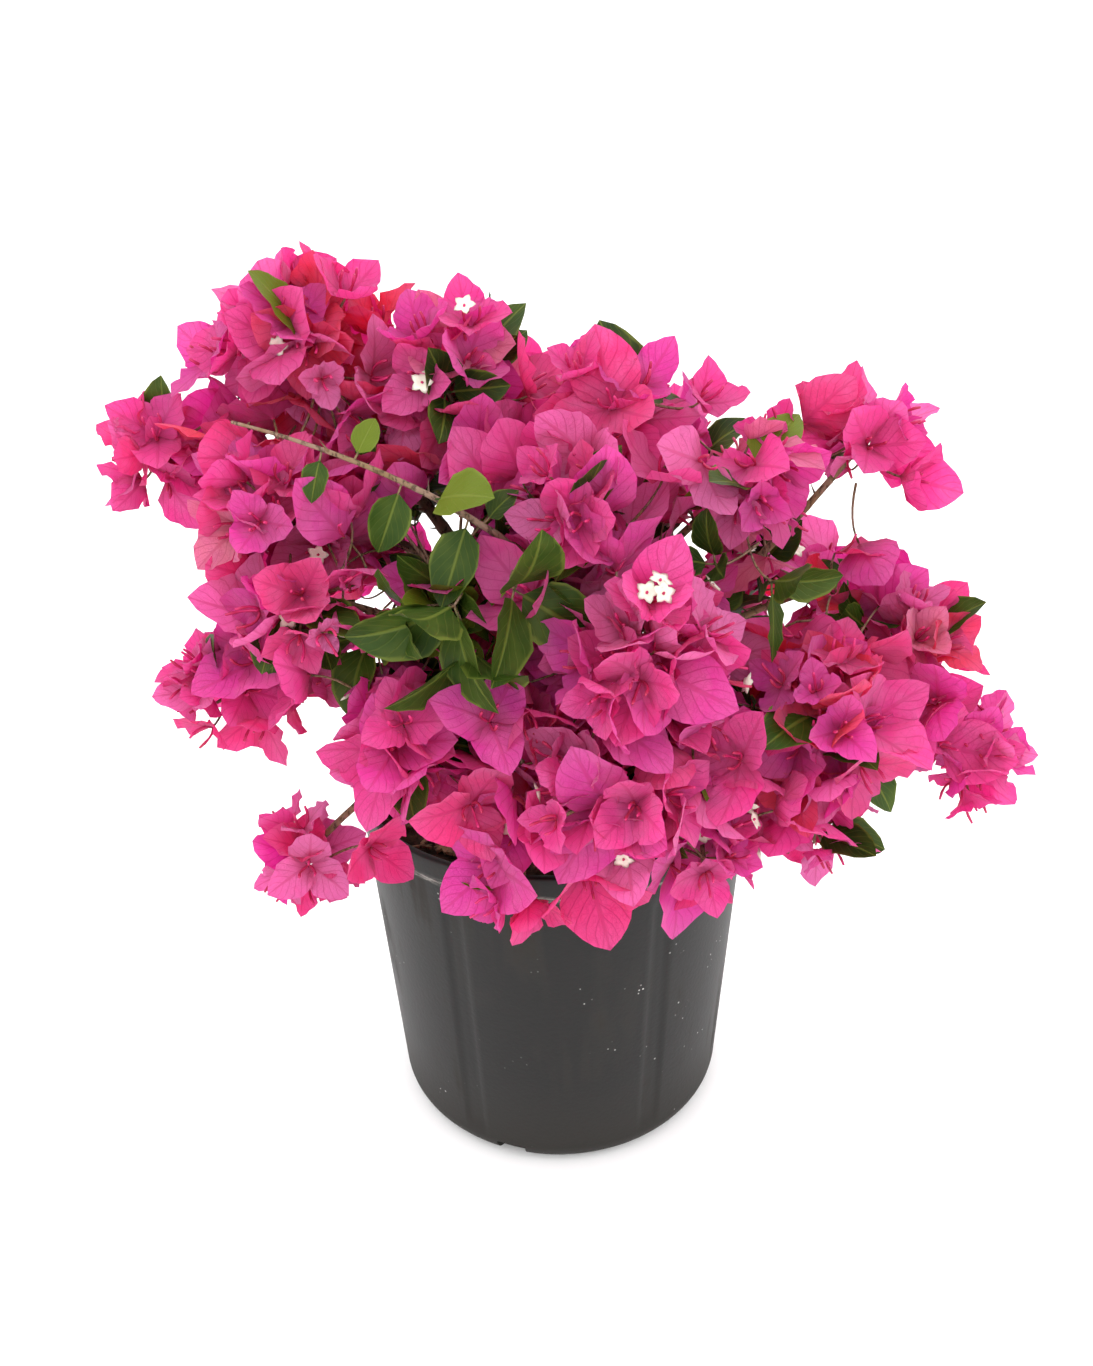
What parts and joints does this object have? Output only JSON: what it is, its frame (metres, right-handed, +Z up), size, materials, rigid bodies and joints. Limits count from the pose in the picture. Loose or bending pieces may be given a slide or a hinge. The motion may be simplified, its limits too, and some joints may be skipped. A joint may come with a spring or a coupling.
{
  "type": "potted bougainvillea bush",
  "caption": "Bushy flowering shrub with arching thorny canes and papery magenta bracts spilling over a round black nursery pot",
  "frame": {"origin": "centre of the pot's flat underside, on the floor", "axes": "+Z up, -Y toward the front of the plant as pictured, +X to its right"},
  "size_m": [0.5198, 0.4072, 0.5652],
  "materials": {
    "pot": "weathered black blow-moulded polyethylene with dust and scuffs",
    "soil": "damp bark-based potting mix",
    "trunk_bark": "grey-brown ridged bark",
    "cane_bark": "smooth grey-brown cane bark with thorns",
    "bloom": "papery magenta-pink bracts round small white star flowers",
    "foliage": "satin mid-green leaves with paler margins"
  },
  "bodies": {
    "root": {"pot": "pot", "soil": "soil", "trunk": "trunk_bark", "bough_upper_left": "cane_bark", "bough_top": "cane_bark", "bough_upper_right": "cane_bark", "bough_right_upper": "cane_bark", "bough_front": "cane_bark", "bough_front_left": "cane_bark", "bough_left_tip": "cane_bark", "bough_left_shoulder": "cane_bark", "bough_left_middle": "cane_bark", "bough_left_low": "cane_bark", "bough_low_left_tip": "cane_bark", "bough_centre": "cane_bark", "bough_right_shoulder": "cane_bark", "bough_right_spray": "cane_bark", "bough_front_skirt": "cane_bark", "bough_front_rim": "cane_bark", "bough_right_front": "cane_bark", "bough_right_tip": "cane_bark", "bough_low_right": "cane_bark", "bough_low_right_tip": "cane_bark", "bough_leafy_left": "cane_bark", "bough_back_low": "cane_bark", "bough_back_left": "cane_bark", "bough_back_top": "cane_bark", "bough_back_right_top": "cane_bark", "bough_back_right": "cane_bark", "bough_back_low_left": "cane_bark", "bough_back_low_right": "cane_bark", "foliage_upper_left": "bloom", "foliage_top": "bloom", "foliage_upper_right": "bloom", "foliage_right_upper": "bloom", "foliage_front": "bloom", "foliage_front_left": "bloom", "foliage_left_tip": "bloom", "foliage_left_shoulder": "bloom", "foliage_left_middle": "bloom", "foliage_left_low": "bloom", "foliage_low_left_tip": "bloom", "foliage_centre": "bloom", "foliage_right_shoulder": "bloom", "foliage_right_spray": "bloom", "foliage_front_skirt": "bloom", "foliage_front_rim": "bloom", "foliage_right_front": "bloom", "foliage_right_tip": "bloom", "foliage_low_right": "bloom", "foliage_low_right_tip": "bloom", "foliage_leafy_left": "foliage", "foliage_back_low": "bloom", "foliage_back_left": "bloom", "foliage_back_top": "bloom", "foliage_back_right_top": "bloom", "foliage_back_right": "bloom", "foliage_back_low_left": "bloom", "foliage_back_low_right": "bloom"}
  },
  "joints": []
}
